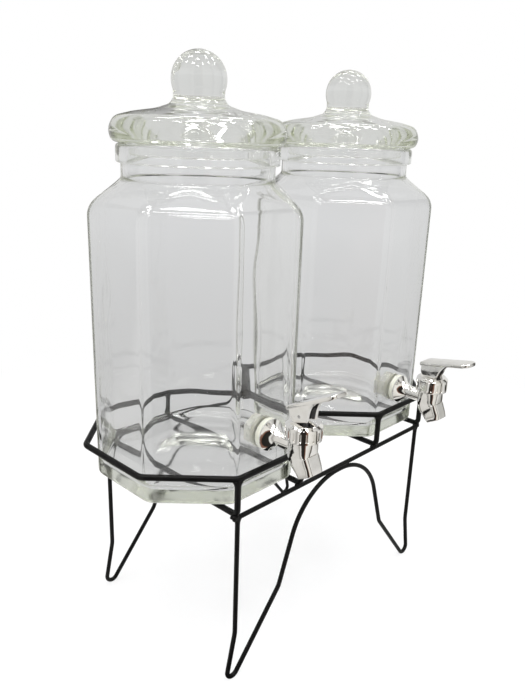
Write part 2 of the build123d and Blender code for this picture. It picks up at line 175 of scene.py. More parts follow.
# Jars
jar_sides = 8
jar_corner = 0.014
jar_wall = 0.0045
base_thickness = 0.009
base_round = 0.005
floor_round = 0.009
floor_crown = 0.0012
punt_radius = 0.036
punt_depth = 0.0045
shoulder_height = 0.2122
shoulder_round = 0.016
neck_height = 0.2316
neck_radius = 0.0572
neck_bore = 0.053
neck_round = 0.003
band_height = 0.2426
band_radius = 0.0606
band_round = 0.0025
lip_round = 0.002
ripple = 0.00013
base_dullness = 0.075
dull_height = 0.0105
dull_fade = 0.003
hole_radius = 0.0075
round_steps = 6
side_steps = 24
bend_steps = 8
slope_steps = 10
slope_lead = 1.15
wave_fade = 6
punt_steps = 8
underside_shares = (0.35, 0.8)
floor_shares = (0.75, 0.5, 0.25)

# Waves of the jar's inner face: turns round it, rate up it, start, size
wall_waves = (
    (3, 31, 0.0, 1.0),
    (7, -47, 1.3, 1.0),
    (13, 88, 0.6, 0.6),
)

# Lids, measured up from the jar's rim
lid_radius = 0.0653
lid_underside = 0.0581
lid_gap = 0.0002
lid_foot_inset = 0.002
lid_foot_height = 0.002
lid_bulge = 0.0004
lid_bulge_height = 0.0094
lid_top_inset = 0.0038
lid_top_height = 0.0188
lid_rounds = (0.005, 0.011, 0.0095, 0.06, 0.03, 0.0072, 0.006)
deck_radius = 0.0546
deck_inset = 0.0066
deck_foot_height = 0.0223
deck_height = 0.0248
stalk_foot_radius = 0.0316
stalk_radius = 0.0185
stalk_height = 0.0334
stalk_flare = 0.0022
stalk_flare_rise = 0.0036
knob_radius = 0.0202
knob_height = 0.0453
knob_flare = 0.0003
knob_drop = 0.0075
plug_radius = 0.0516
plug_inner = 0.0466
plug_depth = 0.008
plug_round = 0.0015
plug_root_round = 0.0008
dome_height = 0.0158
dome_share = 0.72

# Taps, measured from the shank's axis and the tap's upright axis
tap_reach = 0.037
shank_radius = 0.0065
shank_tip_radius = 0.0058
shank_bore = 0.004
shank_depth = 0.0175
shank_round = 0.0006
blind_depth = 0.005
washer_depth = 0.0045
flange_radius = 0.0124
flange_edge = 0.0014
flange_length = 0.0095
flange_round = 0.0005
flange_root_round = 0.0002
flange_waist = 0.0016
flange_waist_share = 0.45
barrel_radius = 0.0103
barrel_tuck = 0.004
barrel_gap = 0.0005
bonnet_foot = 0.0085
bonnet_height = 0.013
bonnet_radius = 0.0137
bonnet_bore = 0.01145
bonnet_roof = 0.0043
bonnet_rim = 0.0022
bonnet_slope = 0.0022
bonnet_edge = 0.0008
bonnet_lip = 0.0004
bonnet_bore_round = 0.0003
bonnet_rounds = (0.0005, 0.0007)
rib_count = 18
rib_steps = 10
rib_depth = 0.001
rib_run = 0.0003
groove_share = 0.2
groove_power = 4
stem_bore = 0.0032
chamber_radius = 0.0082
chamber_drop = 0.0052
spout_lead = 0.0085
spout_drop = 0.018
spout_lean = radians(28)
mouth_width = 0.016
mouth_depth = 0.014
mouth_corner = 0.0035
mouth_wall = 0.0022
mouth_lip = 0.0007
mouth_lip_share = 0.3
throat_depth = 0.009
throat_share = 0.8
spout_sides = 4
swell_back = 0.005
swell_width_share = 0.6
swell_depth_share = 0.62
swell_corner = 0.004
cup_radius = 0.0068
cup_wall = 0.0014
cup_pad = 0.0039
cup_socket = 0.0066
cup_lip = 0.0082
cup_flange = 0.002
cup_round = 0.0005
skirt_radius = 0.0078
skirt_steps = 8
foot_bore = 0.0051
hole_gap = 0.0001
washer_round = 0.0011
washer_bore_round = 0.0003
nut_sides = 6
nut_half = 0.011
nut_round = 0.0012
nut_edge = 0.0004
nut_shoulder = 0.0012
nut_bevel_inset = 0.0003
nut_bevel_height = 0.0006
nut_bevel_corner_share = 0.3
nut_face_inset = 0.0011
nut_face_corner_share = 0.5
nut_mouth = 0.0006

# Sections of the barrel, downward: ahead, height, share of the spout's lean, half width, half depth, corner
barrel_sections = (
    (0.0, bonnet_foot + barrel_tuck, 0.0, barrel_radius, barrel_radius, 0.009888),
    (0.0, bonnet_foot - barrel_gap, 0.0, barrel_radius, barrel_radius, 0.009476),
    (0.0, 0.004, 0.0, 0.0101, 0.0101, 0.0076),
    (0.0, 0.0, 0.0, 0.0097, 0.0097, 0.0062),
    (0.0, -0.0028, 0.0, 0.0094, 0.0094, 0.0054),
    (0.0003, -0.0042, 0.35, 0.0094, 0.0094, 0.0052),
    (0.0011, -0.0057, 0.8, 0.0094, 0.0094, 0.005),
    (0.0022, -0.0075, 1.0, 0.0094, 0.009118, 0.0047),
)

# Levers, measured from the pin
pin_hole = 0.0013
cam_low = 0.0043
cam_rate = 0.00344
cam_span = radians(70)
cam_steps = 14
cheek_gap = 0.0034
cheek_width = 0.0029
cheek_front = 0.006
cheek_throw = 0.009
cheek_hollow_share = 0.3
cheek_inset = 0.0006
cheek_edge = 0.0004
paddle_slope = radians(11)
paddle_height = 0.007
paddle_front = 0.037
paddle_back = 0.0094
paddle_half = 0.009
paddle_thickness = 0.0028
paddle_corner = 0.005
paddle_back_corner = 0.0012
paddle_edge = 0.0009


def rounded(points, radii, steps=6):
    """An open outline whose inner corners are turned into arcs."""
    outline = [Vector(points[0])]
    for before, corner, after, radius in zip(points, points[1:], points[2:], radii):
        corner = Vector(corner)
        back = (Vector(before) - corner).normalized()
        ahead = (Vector(after) - corner).normalized()
        half = back.angle(ahead) / 2
        middle = corner + (back + ahead).normalized() * (radius / sin(half))
        start = corner + back * (radius / tan(half)) - middle
        turn = (pi - 2 * half) * (1 if back.cross(ahead) < 0 else -1)
        for step in range(steps + 1):
            outline.append(middle + Matrix.Rotation(turn * step / steps, 2) @ start)
    outline.append(Vector(points[-1]))
    return outline


def arc(first, through, last, steps):
    """Points of a circular arc through three points."""
    a, b, c = Vector(first), Vector(through), Vector(last)
    u, v = b - a, c - a
    area = 2 * u.cross(v)
    offset = Vector((v.y * u.length_squared - u.y * v.length_squared,
                     u.x * v.length_squared - v.x * u.length_squared)) / area
    middle = a + offset
    start = atan2(a.y - middle.y, a.x - middle.x)
    end = atan2(c.y - middle.y, c.x - middle.x)
    turn = (end - start) % (2 * pi)
    if area < 0:
        turn -= 2 * pi
    return [
        middle + offset.length * Vector((cos(start + turn * k / steps), sin(start + turn * k / steps)))
        for k in range(steps + 1)
    ]


def blend_of(low, high, share):
    """A value between two others."""
    return low + (high - low) * share


def smooth(share):
    """A share from 0 to 1 that starts and ends gently."""
    return share * share * (3 - 2 * share)


def ring_angles(sides, half, corner, flat_steps, corner_steps):
    """Angles round a rounded polygon, closer together at its corners."""
    sector = 2 * pi / sides
    edge = atan((half - corner) * tan(sector / 2) / half)
    local = [blend_of(-edge, edge, k / flat_steps) for k in range(flat_steps)]
    local += [blend_of(edge, sector - edge, k / corner_steps) for k in range(corner_steps)]
    return [sector * side + angle for side in range(sides) for angle in local]


def polygon_reach(angle, sides, half, corner):
    """Middle to edge of a polygon with rounded corners, in the direction of an angle."""
    sector = 2 * pi / sides
    off = abs((angle + sector / 2) % sector - sector / 2)
    if tan(off) * half <= (half - corner) * tan(sector / 2):
        return half / cos(off)
    middle = (half - corner) / cos(sector / 2)
    delta = sector / 2 - off
    return middle * cos(delta) + sqrt(corner**2 - (middle * sin(delta)) ** 2)


def polygon_ring(angles, sides, half, corner, height):
    """A level polygon with rounded corners."""
    reaches = [polygon_reach(angle, sides, half, corner) for angle in angles]
    return [Vector((r * cos(a), r * sin(a), height)) for r, a in zip(reaches, angles)]


def circle(radius, height, angles):
    """A level circle, or a tip where the radius is 0."""
    if radius == 0:
        return [Vector((0, 0, height))]
    return [Vector((radius * cos(a), radius * sin(a), height)) for a in angles]


def even_angles(count):
    """Angles in equal steps round a circle."""
    return [2 * pi * k / count for k in range(count)]


def turned(profile, count):
    """Rings of a turned shape, from points of radius and height."""
    return [circle(radius, height, even_angles(count)) for radius, height in profile]


def add_object(name, data):
    """A new object in the scene."""
    added = bpy.data.objects.new(name, data)
    bpy.context.scene.collection.objects.link(added)
    return added


def finish_mesh(piece, sharp):
    """Smooth shading, with edges sharper than an angle kept."""
    piece.data.shade_smooth()
    piece.data.set_sharp_from_angle(angle=sharp)


def new_piece(name, shape, place=Matrix(), sharp=plain_sharp):
    """A piece from a finished edit mesh."""
    bmesh.ops.recalc_face_normals(shape, faces=shape.faces)
    mesh = bpy.data.meshes.new(name)
    shape.to_mesh(mesh)
    shape.free()
    mesh.transform(place)
    piece = add_object(name, mesh)
    finish_mesh(piece, sharp)
    return piece


def add_skin(shape, rings, closed=False):
    """Faces over a row of rings. A ring of one point is a tip."""
    rows = [[shape.verts.new(point) for point in ring] for ring in rings]
    pairs = list(zip(rows, rows[1:]))
    if closed:
        pairs.append((rows[-1], rows[0]))
    for low, high in pairs:
        count = max(len(low), len(high))
        for k in range(count):
            n = (k + 1) % count
            corners = [low[k % len(low)], low[n % len(low)], high[n % len(high)], high[k % len(high)]]
            shape.faces.new(list(dict.fromkeys(corners)))


def skin(name, rings, place, closed=False, sharp=plain_sharp):
    """A piece whose surface runs over a row of rings."""
    shape = bmesh.new()
    add_skin(shape, rings, closed)
    return new_piece(name, shape, place, sharp)


def prism(name, outline, low, high, bevel, steps, place):
    """A piece with a flat outline, between two heights, with rounded edges."""
    shape = bmesh.new()
    rows = [[shape.verts.new((p[0], p[1], height)) for p in outline] for height in (low, high)]
    shape.faces.new(rows[0])
    shape.faces.new(rows[1])
    for k in range(len(outline)):
        n = (k + 1) % len(outline)
        shape.faces.new((rows[0][k], rows[0][n], rows[1][n], rows[1][k]))
    caps = [edge for edge in shape.edges if edge.verts[0].co.z == edge.verts[1].co.z]
    bmesh.ops.bevel(shape, geom=caps, offset=bevel, segments=steps, profile=0.5, affect="EDGES")
    return new_piece(name, shape, place)


def combine(piece, tools, operation, sharp=plain_sharp):
    """Join other shapes to a piece, or cut them out of it."""
    for tool in tools:
        change = piece.modifiers.new("change", "BOOLEAN")
        change.operation = operation
        change.object = tool
    bpy.context.view_layer.update()
    whole = piece.evaluated_get(bpy.context.evaluated_depsgraph_get())
    mesh = bpy.data.meshes.new_from_object(whole)
    piece.modifiers.clear()
    piece.data = mesh
    for tool in tools:
        bpy.data.objects.remove(tool)
    finish_mesh(piece, sharp)


def new_material(name, colour, roughness, metallic=0.0):
    """A material with its main shader, ready for its details."""
    material = bpy.data.materials.new(name)
    material.use_nodes = True
    shader = material.node_tree.nodes["Principled BSDF"]
    shader.inputs["Base Color"].default_value = (*colour, 1)
    shader.inputs["Roughness"].default_value = roughness
    shader.inputs["Metallic"].default_value = metallic
    return material, material.node_tree, shader


def add_node(tree, kind, inputs=()):
    """A node whose inputs are set to values, or linked where a value is another node's output."""
    node = tree.nodes.new(kind)
    for name, value in dict(inputs).items():
        if isinstance(value, bpy.types.NodeSocket):
            tree.links.new(value, node.inputs[name])
        else:
            node.inputs[name].default_value = value
    return node


def add_noise(tree, scale, detail=3.0, stretch=(1, 1, 1)):
    """A noise that is fixed to the object, with its scale in cycles per metre."""
    place = add_node(tree, "ShaderNodeTexCoord")
    mapping = add_node(tree, "ShaderNodeMapping", {"Vector": place.outputs["Object"], "Scale": stretch})
    inputs = {"Vector": mapping.outputs["Vector"], "Scale": scale, "Detail": detail}
    return add_node(tree, "ShaderNodeTexNoise", inputs).outputs["Fac"]


def add_span(tree, source, start, end, low, high):
    """A value that runs from low to high while its source runs from start to end."""
    inputs = {"Value": source, "From Min": start, "From Max": end, "To Min": low, "To Max": high}
    return add_node(tree, "ShaderNodeMapRange", inputs).outputs["Result"]


def add_ramp(tree, source, tones):
    """Tones that follow a value, from a table of its spots."""
    ramp = add_node(tree, "ShaderNodeValToRGB", {"Fac": source})
    stops = ramp.color_ramp.elements
    first, *between, last = tones
    stops[0].position = first
    stops[1].position = last
    stops[0].color = (*tones[first], 1)
    stops[1].color = (*tones[last], 1)
    for spot in between:
        stops.new(spot).color = (*tones[spot], 1)
    return ramp.outputs["Color"]


def spread(tree, source, low, high):
    """The middle of a noise's range, spread between two values."""
    return add_span(tree, source, noise_low, noise_high, low, high)


def vary_colour(tree, shader, source, low, high):
    """Colour that runs between two tones with a noise."""
    tones = add_ramp(tree, source, {noise_low: low, noise_high: high})
    tree.links.new(tones, shader.inputs["Base Color"])


def add_bump(tree, shader, source, depth, strength=1.0):
    """Relief of a given depth from a noise."""
    bump = add_node(tree, "ShaderNodeBump", {"Height": source, "Strength": strength, "Distance": depth})
    tree.links.new(bump.outputs["Normal"], shader.inputs["Normal"])


def coated_wire():
    """Black powder coat: a fine pebbled skin, a little uneven in tone and gloss."""
    material, tree, shader = new_material("black_coat", (0.004, 0.004, 0.004), roughness=0.42)
    shader.inputs["Specular IOR Level"].default_value = 0.16
    cloud = add_noise(tree, scale=90.0)
    pebbles = add_noise(tree, scale=1900.0)
    vary_colour(tree, shader, cloud, low=(0.002, 0.002, 0.002), high=(0.006, 0.0058, 0.0056))
    tree.links.new(spread(tree, cloud, low=0.3, high=0.46), shader.inputs["Roughness"])
    add_bump(tree, shader, pebbles, depth=0.00009, strength=0.5)
    return material


def add_dullness(tree):
    """The dullness that pressing leaves in the glass of a jar's base, faded out above it."""
    place = add_node(tree, "ShaderNodeTexCoord")
    axes = add_node(tree, "ShaderNodeSeparateXYZ", {"Vector": place.outputs["Object"]})
    dull_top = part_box("jar_left")[0].z + dull_height
    return add_span(tree, axes.outputs["Z"], dull_top + dull_fade, dull_top, 0.0, base_dullness)


def clear_glass():
    """Pressed glass, faintly green in depth, with a soft wave in its surface."""
    material, tree, shader = new_material("clear_glass", white, roughness=0.0)
    shader.inputs["Transmission Weight"].default_value = 1.0
    shader.inputs["IOR"].default_value = 1.5
    smears = spread(tree, add_noise(tree, scale=30.0), low=0.0, high=0.02)
    duller = add_node(tree, "ShaderNodeMath", {0: smears, 1: add_dullness(tree)})
    duller.operation = "MAXIMUM"
    tree.links.new(duller.outputs["Value"], shader.inputs["Roughness"])
    wave = add_noise(tree, scale=26.0, detail=1.5, stretch=(1, 1, 0.55))
    add_bump(tree, shader, wave, depth=0.0003)
    body = add_node(tree, "ShaderNodeVolumeAbsorption", {"Color": (0.66, 0.71, 0.45, 1), "Density": 3.0})
    tree.links.new(body.outputs["Volume"], tree.nodes["Material Output"].inputs["Volume"])
    return material


def bright_chrome():
    """Plated metal, with the plating's faint unevenness and a few dull smears."""
    material, tree, shader = new_material("chrome", (0.9, 0.885, 0.865), roughness=0.05, metallic=1.0)
    smear = add_noise(tree, scale=160.0, detail=4.0)
    waves = add_noise(tree, scale=260.0, detail=2.0)
    tree.links.new(spread(tree, smear, low=0.03, high=0.1), shader.inputs["Roughness"])
    vary_colour(tree, shader, smear, low=(0.86, 0.845, 0.82), high=(0.94, 0.93, 0.915))
    add_bump(tree, shader, waves, depth=0.00012, strength=0.35)
    return material


def milky_plastic(name, low, high, roughness, clearness, scale):
    """Cloudy soft plastic or rubber that lets some light through."""
    material, tree, shader = new_material(name, high, roughness)
    shader.inputs["Transmission Weight"].default_value = clearness
    shader.inputs["IOR"].default_value = 1.43
    shader.inputs["Subsurface Weight"].default_value = 0.35
    shader.inputs["Subsurface Radius"].default_value = (0.004, 0.004, 0.0035)
    cloud = add_noise(tree, scale)
    grain = add_noise(tree, scale * 6)
    vary_colour(tree, shader, cloud, low, high)
    tree.links.new(spread(tree, cloud, roughness, roughness + 0.15), shader.inputs["Roughness"])
    add_bump(tree, shader, grain, depth=0.0001, strength=0.4)
    return material


def dark_plastic():
    """Moulded dark plastic of the stems."""
    material, tree, shader = new_material("stem_plastic", (0.03, 0.03, 0.032), roughness=0.4)
    grain = add_noise(tree, scale=700.0)
    vary_colour(tree, shader, grain, low=(0.02, 0.02, 0.022), high=(0.045, 0.045, 0.048))
    tree.links.new(spread(tree, grain, low=0.3, high=0.5), shader.inputs["Roughness"])
    add_bump(tree, shader, grain, depth=0.00008, strength=0.5)
    return material


def drawn_steel():
    """Plain steel of the pins, with the marks of drawing along it."""
    material, tree, shader = new_material("steel", (0.55, 0.55, 0.55), roughness=0.25, metallic=1.0)
    lines = add_noise(tree, scale=500.0, stretch=(0.1, 1, 1))
    vary_colour(tree, shader, lines, low=(0.48, 0.48, 0.485), high=(0.62, 0.615, 0.61))
    tree.links.new(spread(tree, lines, low=0.18, high=0.34), shader.inputs["Roughness"])
    add_bump(tree, shader, lines, depth=0.00005, strength=0.5)
    return material


materials = {
    "black_coat": coated_wire(),
    "clear_glass": clear_glass(),
    "chrome": bright_chrome(),
    "silicone": milky_plastic(
        "silicone", (0.68, 0.68, 0.58), (0.79, 0.79, 0.7), roughness=0.38, clearness=0.0, scale=140.0
    ),
    "nut_plastic": milky_plastic(
        "nut_plastic", (0.86, 0.86, 0.78), (0.94, 0.94, 0.87), roughness=0.22, clearness=0.1, scale=220.0
    ),
    "stem_plastic": dark_plastic(),
    "steel": drawn_steel(),
}


def dress(piece, slot, body, *nodes):
    """Give a piece its material, the body that it rides on and the nodes that it stands for."""
    piece.data.materials.clear()
    piece.data.materials.append(materials[slot])
    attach(piece, body)
    if nodes:
        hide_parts(*nodes)


def wall_wave(angle, height):
    """The small unevenness of the jar's inner face, from waves round it and up it."""
    return ripple * sum(
        size * sin(turns * angle + climb * height + start) for turns, climb, start, size in wall_waves
    )


def jar_rings():
    """Rings over a jar's whole skin, from under its base, over the rim and down to its floor."""
    low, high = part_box("jar_left")
    half = (high.x - low.x) / 2
    rim_height = high.z - low.z
    lean = atan2(half - neck_radius, neck_height - shoulder_height)
    angles = ring_angles(jar_sides, half, jar_corner, flat_steps=8, corner_steps=12)

    def loop(height, reach, corner, uneven=0.0):
        """A level ring of the jar's eight-sided form."""
        ring = []
        for angle in angles:
            r = polygon_reach(angle, jar_sides, reach, corner) - uneven * wall_wave(angle, height)
            ring.append(Vector((r * cos(angle), r * sin(angle), height)))
        return ring

    def wall(reach, corner, foot, round_radius, bend, neck_foot, neck_reach, uneven):
        """Loops from a foot to just under the neck."""
        loops = []
        for step in range(round_steps + 1):
            turn = radians(90) * step / round_steps
            inset = round_radius * (1 - sin(turn))
            height = foot + round_radius * (1 - cos(turn))
            loops.append(loop(height, reach - inset, max(corner - inset, corner / 3)))
        bend_foot = neck_foot - (reach - neck_reach) / tan(lean) - bend * tan(lean / 2)
        side_foot = foot + round_radius
        for step in range(1, side_steps):
            share = step / side_steps
            fade = min(1, wave_fade * share, wave_fade * (1 - share))
            loops.append(loop(blend_of(side_foot, bend_foot, share), reach, corner, uneven * fade))
        for step in range(bend_steps + 1):
            turn = lean * step / bend_steps
            loops.append(loop(bend_foot + bend * sin(turn), reach - bend * (1 - cos(turn)), corner))
        start, top = reach - bend * (1 - cos(lean)), bend_foot + bend * sin(lean)
        for step in range(1, slope_steps):
            share = step / slope_steps
            slope_reach = blend_of(start, neck_reach, share)
            round_share = smooth(min(1, share * slope_lead))
            slope_corner = blend_of(corner, slope_reach, round_share)
            loops.append(loop(blend_of(top, neck_foot, share), slope_reach, slope_corner))
        return loops

    punt_ball = (punt_radius**2 + punt_depth**2) / (2 * punt_depth)
    rings = [[Vector((0, 0, punt_depth))]]
    for step in range(1, punt_steps + 1):
        reach = punt_radius * step / punt_steps
        rings.append(circle(reach, punt_depth - punt_ball + sqrt(punt_ball**2 - reach**2), angles))
    for share in underside_shares:
        reach = blend_of(punt_radius, half - base_round, share)
        rings.append(loop(0, reach, blend_of(reach, jar_corner, share)))
    rings += wall(half, jar_corner, 0, base_round, shoulder_round, neck_height, neck_radius, 0)

    inner_half = half - jar_wall
    inner_neck = shoulder_height - jar_wall * tan(lean / 2) + (inner_half - neck_bore) / tan(lean)
    step_down = neck_height - (half - neck_radius) / tan(lean) / slope_steps
    step_out = neck_radius + (half - neck_radius) / slope_steps
    neck = rounded(
        [
            (step_out, step_down),
            (neck_radius, neck_height),
            (neck_radius, band_height),
            (band_radius, band_height),
            (band_radius, rim_height),
            (neck_bore, rim_height),
            (neck_bore, inner_neck),
        ],
        [neck_round, lip_round / 2, lip_round / 2, band_round, lip_round],
    )
    rings += [circle(reach, height, angles) for reach, height in neck[1:]]

    lining = wall(
        inner_half, jar_corner - jar_wall, base_thickness, floor_round, shoulder_round - jar_wall,
        inner_neck, neck_bore, 1.0,
    )
    rings += reversed(lining)
    for share in floor_shares:
        reach = (inner_half - floor_round) * share
        rise = floor_crown * (1 - share**2)
        rings.append(loop(base_thickness + rise, reach, blend_of(reach, jar_corner * share, share)))
    rings.append([Vector((0, 0, base_thickness + floor_crown))])
    return rings


def make_drill(radius, run, segments, place):
    """A round bar to cut a hole with, as long to each side as its run."""
    profile = [(0, -run), (radius, -run), (radius, run), (0, run)]
    return skin("drill", turned(profile, segments), place)


def make_jar(side):
    """A glass jar, with the hole for its tap."""
    low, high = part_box(f"jar_{side}")
    x = (low.x + high.x) / 2
    jar = skin(f"glass_jar_{side}", jar_rings(), Matrix.Translation((x, 0, low.z)))
    nut_low, nut_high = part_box(f"shank_nut_{side}")
    on_wall = Matrix.Translation((x, low.y, (nut_low.z + nut_high.z) / 2))
    across = on_wall @ Matrix.Rotation(radians(90), 4, "X")
    combine(jar, [make_drill(hole_radius, 2 * jar_wall, hole_segments, across)], "DIFFERENCE")
    dress(jar, "clear_glass", f"jar_{side}", f"jar_{side}")


def lid_profile():
    """Half of a lid's section, from the middle of its underside round to the top of its knob."""
    plug = rounded(
        [
            (plug_inner, 0),
            (plug_inner, -plug_depth),
            (plug_radius, -plug_depth),
            (plug_radius, lid_gap),
            (lid_underside, lid_gap),
        ],
        [plug_round, plug_round, plug_root_round],
    )
    knob_foot = (stalk_radius + knob_flare, knob_height - knob_drop)
    edge = rounded(
        [
            (lid_underside, lid_gap),
            (lid_radius - lid_foot_inset, lid_foot_height),
            (lid_radius + lid_bulge, lid_bulge_height),
            (lid_radius - lid_top_inset, lid_top_height),
            (deck_radius - deck_inset, deck_foot_height),
            (stalk_foot_radius, deck_height),
            (stalk_radius + stalk_flare, deck_height + stalk_flare_rise),
            (stalk_radius, stalk_height),
            knob_foot,
        ],
        lid_rounds,
        steps=8,
    )
    knob = arc(knob_foot, (knob_radius, knob_height), (0, knob_height + knob_radius), steps=28)
    dome_side = (plug_inner * dome_share, dome_height * dome_share)
    dome = arc((0, dome_height), dome_side, (plug_inner, 0), steps=14)
    profile = dome[:-1] + plug[:-1] + edge[:-1] + knob
    profile[0].x = 0
    profile[-1].x = 0
    return profile


def make_lid(side):
    """A solid glass lid with a thick edge and a ball knob."""
    low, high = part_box(f"jar_{side}")
    place = Matrix.Translation(((low.x + high.x) / 2, 0, high.z))
    lid = skin(f"glass_lid_{side}", turned(lid_profile(), lid_segments), place)
    dress(lid, "clear_glass", f"lid_{side}", f"lid_{side}")


def tap_origin(side):
    """Where the tap's upright axis meets the level of its shank."""
    bonnet_low, bonnet_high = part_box(f"tap_bonnet_{side}")
    nut_low, nut_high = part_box(f"shank_nut_{side}")
    return Vector((
        (bonnet_low.x + bonnet_high.x) / 2,
        (bonnet_low.y + bonnet_high.y) / 2,
        (nut_low.z + nut_high.z) / 2,
    ))


def along_shank(side):
    """A place on the outer face of the glass, with Z out of the jar along the shank."""
    out = tap_origin(side) + Vector((0, tap_reach, 0))
    return Matrix.Translation(out) @ Matrix.Rotation(radians(90), 4, "X")


def shank_span(side, node):
    """Where a node starts and ends along the shank, outward from the face of the glass."""
    low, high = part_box(node)
    glass = tap_origin(side).y + tap_reach
    start = glass - high.y
    return start, start + high.y - low.y


def barrel_rings():
    """Rings over the barrel and the spout, from the bonnet down to the mouth and up its throat."""
    angles = ring_angles(spout_sides, barrel_radius, barrel_radius / 2, flat_steps=6, corner_steps=10)
    half_width, half_depth = mouth_width / 2, mouth_depth / 2
    inner_width, inner_depth = half_width - mouth_wall, half_depth - mouth_wall
    waist = barrel_sections[-1][3]
    down = Vector((sin(spout_lean), -cos(spout_lean)))
    mouth = Vector((spout_lead, -spout_drop))

    def section(ahead, height, lean, width, depth, corner):
        """A section at a place ahead of the tap's axis, leaning forward."""
        ring = []
        for angle in angles:
            reach = polygon_reach(angle, spout_sides, width, corner)
            across, along = reach * cos(angle), reach * sin(angle) * depth / width
            ring.append(Vector((across, -ahead + along * cos(lean), height - along * sin(lean))))
        return ring

    def on_flow(back, width, depth, corner):
        """A section square to the flow, some way back from the mouth."""
        spot = mouth - down * back
        return section(spot.x, spot.y, spout_lean, width, depth, corner)

    rings = [[Vector((0, 0, bonnet_foot + barrel_tuck))]]
    for ahead, height, lean_share, width, depth, corner in barrel_sections:
        rings.append(section(ahead, height, spout_lean * lean_share, width, depth, corner))
    swell_width = blend_of(waist, half_width, swell_width_share)
    swell_depth = blend_of(waist, half_depth, swell_depth_share)
    lip_turn = mouth_lip * mouth_lip_share
    end = mouth - down * throat_depth
    rings += [
        on_flow(swell_back, swell_width, swell_depth, swell_corner),
        on_flow(mouth_lip, half_width, half_depth, mouth_corner),
        on_flow(lip_turn, half_width - lip_turn, half_depth - lip_turn, mouth_corner),
        on_flow(0, half_width - mouth_lip, half_depth - mouth_lip, mouth_corner - mouth_lip / 2),
        on_flow(0, inner_width + mouth_lip / 2, inner_depth + mouth_lip / 2, mouth_corner / 2),
        on_flow(mouth_lip / 2, inner_width, inner_depth, mouth_corner / 2),
        on_flow(throat_depth, inner_width * throat_share, inner_depth * throat_share, mouth_corner / 2),
        [Vector((0, -end.x, end.y))],
    ]
    return rings


def make_casting(side):
    """Shank, domed flange, barrel and spout in one casting."""
    flange_top = washer_depth + flange_edge
    dome = arc(
        (flange_radius, flange_top),
        (shank_radius + flange_waist, flange_top + flange_length * flange_waist_share),
        (shank_tip_radius, flange_top + flange_length),
        steps=8,
    )
    profile = [(0, blind_depth), (shank_bore, blind_depth)]
    profile += rounded(
        [
            (shank_bore, -shank_depth),
            (shank_radius, -shank_depth),
            (shank_radius, washer_depth),
            (flange_radius, washer_depth),
            (flange_radius, flange_top),
        ],
        [shank_round, flange_root_round, flange_round],
        steps=3,
    )[:-1]
    profile += dome
    profile += [(shank_tip_radius, tap_reach), (0, tap_reach)]
    casting = skin(f"tap_casting_{side}", turned(profile, tap_segments), along_shank(side))

    upright = Matrix.Translation(tap_origin(side))
    barrel = skin("barrel", barrel_rings(), upright)
    combine(casting, [barrel], "UNION", casting_sharp)
    chamber_top = bonnet_foot + bonnet_height
    hollow = [
        (0, -chamber_drop),
        (chamber_radius, -chamber_drop),
        (chamber_radius, chamber_top),
        (0, chamber_top),
    ]
    chamber = skin("chamber", turned(hollow, tap_segments), upright)
    combine(casting, [chamber], "DIFFERENCE", casting_sharp)
    dress(casting, "chrome", f"jar_{side}", f"tap_body_{side}")


def make_seat(side):
    """The soft cup that shuts the valve."""
    low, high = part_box(f"seat_cup_{side}")
    flange = (high.x - low.x) / 2
    top = high.z - low.z
    skirt_top = top - cup_flange
    shares = [k / skirt_steps for k in range(1, skirt_steps)]
    outer = [(blend_of(cup_radius, skirt_radius, k), blend_of(cup_lip, skirt_top, k)) for k in shares]
    inner = [(radius - cup_wall, height) for radius, height in reversed(outer)]
    profile = rounded([(0, 0), (cup_radius, 0), (cup_radius, cup_lip)], [cup_round])
    profile += outer
    profile += rounded(
        [
            (skirt_radius, skirt_top),
            (flange, skirt_top),
            (flange, top),
            (skirt_radius - cup_wall, top),
        ],
        [cup_round, cup_round],
    )
    profile += inner
    profile += [
        (cup_radius - cup_wall, cup_lip),
        (stem_bore, cup_lip),
        (stem_bore, cup_socket),
        (foot_bore, cup_socket),
        (foot_bore, cup_pad),
        (0, cup_pad),
    ]
    foot = Vector(((low.x + high.x) / 2, (low.y + high.y) / 2, low.z))
    seat = skin(f"soft_seat_{side}", turned(profile, tap_segments), Matrix.Translation(foot))
    seat.data.materials.append(materials["silicone"])
    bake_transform(seat)
    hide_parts(f"seat_cup_{side}")


